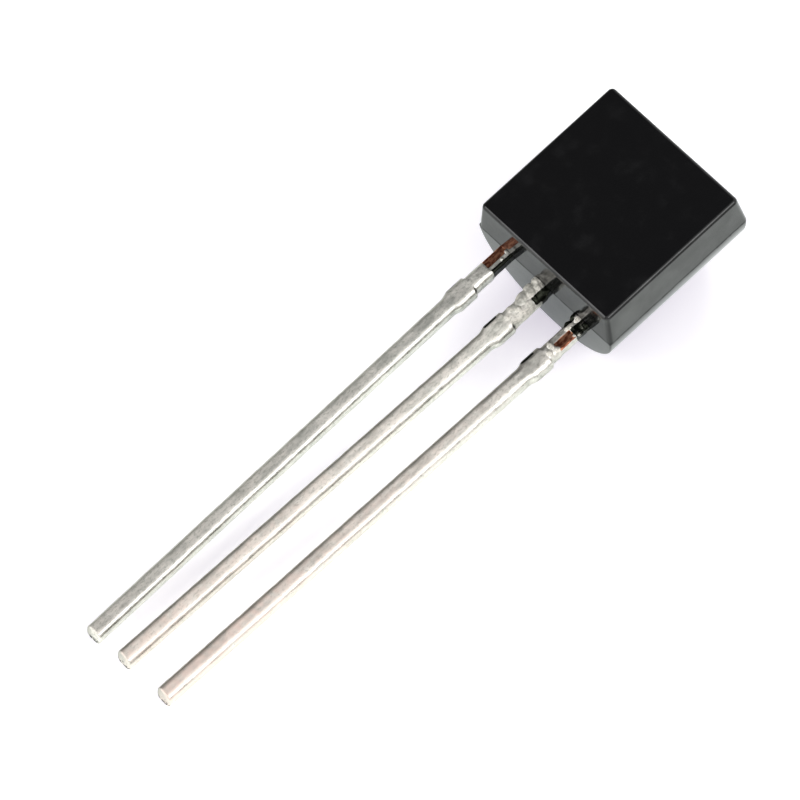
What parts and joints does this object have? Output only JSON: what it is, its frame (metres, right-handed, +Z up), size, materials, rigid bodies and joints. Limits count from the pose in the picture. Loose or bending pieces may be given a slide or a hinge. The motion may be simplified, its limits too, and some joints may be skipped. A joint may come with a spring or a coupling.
{
  "type": "to-92 transistor",
  "caption": "Small-signal transistor in a D-shaped black epoxy body with a flat face and three straight solder-dipped leads; it switches or amplifies a current.",
  "frame": {"origin": "centre of the bounding box's bottom face: the surface that the part lies on", "axes": "+Z up; X along the part, the leads towards -X and the moulded body towards +X; Y across the leads, the emitter lead towards +Y"},
  "size_m": [0.018, 0.0046, 0.0039],
  "materials": {
    "epoxy": "black glossy epoxy moulding compound",
    "dipped_copper": "stamped copper alloy, bare next to the body and dipped in solder along the tails",
    "silicon": "polished silicon",
    "solder": "dull solder",
    "gold": "drawn gold wire"
  },
  "bodies": {
    "root": {"epoxy_body": "epoxy", "emitter_lead": "dipped_copper", "base_lead": "dipped_copper", "collector_lead": "dipped_copper", "silicon_die": "silicon", "die_attach": "solder", "emitter_bond_wire": "gold", "base_bond_wire": "gold"}
  },
  "joints": []
}
